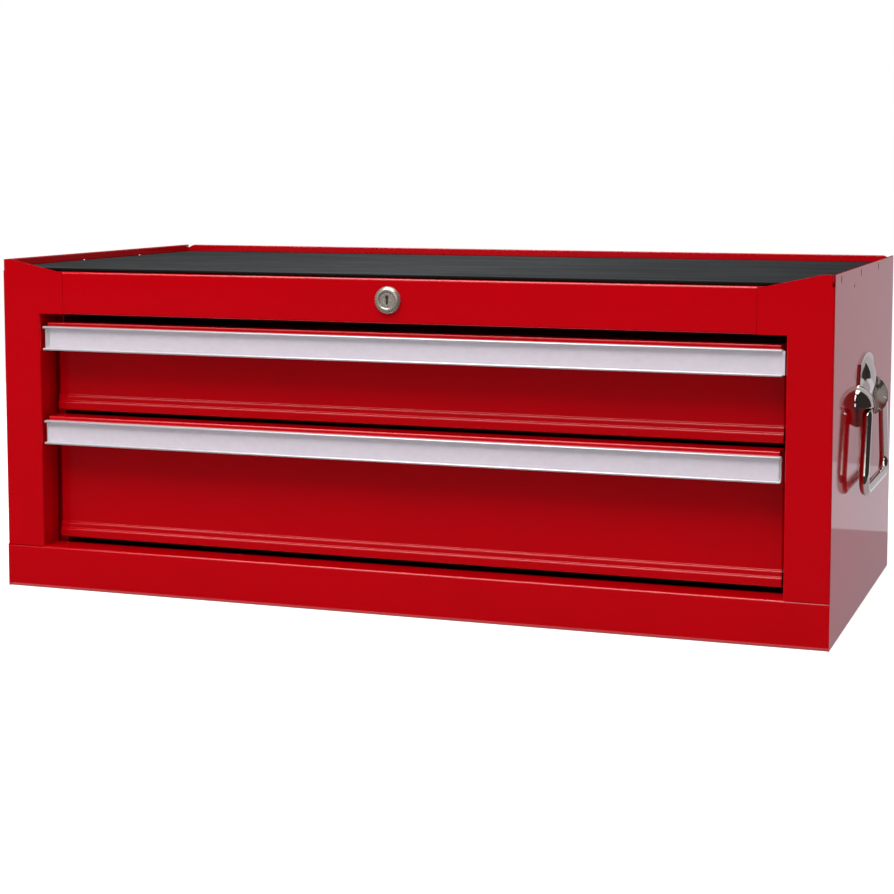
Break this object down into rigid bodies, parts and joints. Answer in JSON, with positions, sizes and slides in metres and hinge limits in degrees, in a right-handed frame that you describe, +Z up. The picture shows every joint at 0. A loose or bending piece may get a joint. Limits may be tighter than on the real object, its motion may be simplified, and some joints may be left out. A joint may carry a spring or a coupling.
{
  "type": "portable tool box with drawers",
  "caption": "Wide, low steel tool chest with full-width drawers on ball-bearing slides, strip pulls, a key lock, a drop handle on each side and a matted tray on top.",
  "frame": {"origin": "on the floor, in the middle of the cabinet's footprint", "axes": "+X to the chest's right-hand side seen from its front, +Y to the back, +Z up; the drawers face -Y"},
  "size_m": [0.686, 0.3182, 0.2634],
  "materials": {
    "red_paint": "glossy powder coat, red",
    "tray_mat": "matt, finely ribbed",
    "drawer_liner": "matt foam",
    "pull_aluminium": "satin anodised",
    "label_strip": "satin silver",
    "zinc_steel": "bright zinc plate",
    "bearing_steel": "polished",
    "bright_chrome": "polished chrome plate",
    "guide_nylon": "natural nylon"
  },
  "bodies": {
    "cabinet": {"left_side_panel": "red_paint", "right_side_panel": "red_paint", "back_panel": "red_paint", "bottom_panel": "red_paint", "top_panel": "red_paint", "header_rail": "red_paint", "left_front_upright": "red_paint", "left_rear_upright": "red_paint", "right_front_upright": "red_paint", "right_rear_upright": "red_paint", "top_mat": "tray_mat", "upper_left_cabinet_rail": "zinc_steel", "upper_right_cabinet_rail": "zinc_steel", "lower_left_cabinet_rail": "zinc_steel", "lower_right_cabinet_rail": "zinc_steel", "cabinet_rail_rivets": "zinc_steel", "lock_nut": "zinc_steel", "spindle_hanger": "zinc_steel", "left_handle_bracket": "bright_chrome", "right_handle_bracket": "bright_chrome", "left_handle_rivets": "bright_chrome", "right_handle_rivets": "bright_chrome", "lock_housing": "bright_chrome", "upper_bar_guide": "guide_nylon", "lower_bar_guide": "guide_nylon"},
    "upper_drawer": {"upper_drawer_front": "red_paint", "upper_drawer_box": "red_paint", "upper_drawer_inner_wall": "red_paint", "upper_drawer_back_wall": "red_paint", "upper_drawer_pull": "pull_aluminium", "upper_label_strip": "label_strip", "upper_drawer_liner": "drawer_liner", "upper_left_drawer_rail": "zinc_steel", "upper_right_drawer_rail": "zinc_steel", "upper_drawer_rivets": "zinc_steel", "upper_drawer_catch": "zinc_steel"},
    "lower_drawer": {"lower_drawer_front": "red_paint", "lower_drawer_box": "red_paint", "lower_drawer_inner_wall": "red_paint", "lower_drawer_back_wall": "red_paint", "lower_drawer_pull": "pull_aluminium", "lower_label_strip": "label_strip", "lower_drawer_liner": "drawer_liner", "lower_left_drawer_rail": "zinc_steel", "lower_right_drawer_rail": "zinc_steel", "lower_drawer_rivets": "zinc_steel", "lower_drawer_catch": "zinc_steel"},
    "upper_ball_cages": {"upper_left_ball_cage": "zinc_steel", "upper_right_ball_cage": "zinc_steel", "upper_bearing_balls": "bearing_steel"},
    "lower_ball_cages": {"lower_left_ball_cage": "zinc_steel", "lower_right_ball_cage": "zinc_steel", "lower_bearing_balls": "bearing_steel"},
    "key_spindle": {"lock_plug": "bright_chrome", "lock_spindle": "zinc_steel", "lock_crank": "zinc_steel"},
    "locking_bar": {"lock_bar": "zinc_steel"},
    "left_bail": {"left_bail": "bright_chrome"},
    "right_bail": {"right_bail": "bright_chrome"}
  },
  "joints": [
    {"name": "upper_drawer_slide", "type": "slide", "parent": "cabinet", "child": "upper_drawer", "axis": [0, -1, 0], "range_m": [0, 0.2]},
    {"name": "lower_drawer_slide", "type": "slide", "parent": "cabinet", "child": "lower_drawer", "axis": [0, -1, 0], "range_m": [0, 0.2]},
    {"name": "upper_cage_slide", "type": "slide", "parent": "cabinet", "child": "upper_ball_cages", "axis": [0, -1, 0], "range_m": [0, 0.1]},
    {"name": "lower_cage_slide", "type": "slide", "parent": "cabinet", "child": "lower_ball_cages", "axis": [0, -1, 0], "range_m": [0, 0.1]},
    {"name": "locking_bar_lift", "type": "slide", "parent": "cabinet", "child": "locking_bar", "axis": [0, 0, 1], "range_m": [0, 0.01273]},
    {"name": "key_turn", "type": "hinge", "parent": "cabinet", "child": "key_spindle", "pos_m": [0, 0, 0.2384], "axis": [0, 1, 0], "range_deg": [0, 90]},
    {"name": "left_bail_hinge", "type": "hinge", "parent": "cabinet", "child": "left_bail", "pos_m": [-0.3383, 0, 0.1545], "axis": [0, 1, 0], "range_deg": [-3, 94]},
    {"name": "right_bail_hinge", "type": "hinge", "parent": "cabinet", "child": "right_bail", "pos_m": [0.3383, 0, 0.1545], "axis": [0, -1, 0], "range_deg": [-3, 94]}
  ],
  "couplings": [
    {"joint": "upper_cage_slide", "follows": "upper_drawer_slide", "ratio": 0.5},
    {"joint": "lower_cage_slide", "follows": "lower_drawer_slide", "ratio": 0.5},
    {"joint": "key_turn", "follows": "locking_bar_lift", "rad_per_m": 123.41}
  ]
}
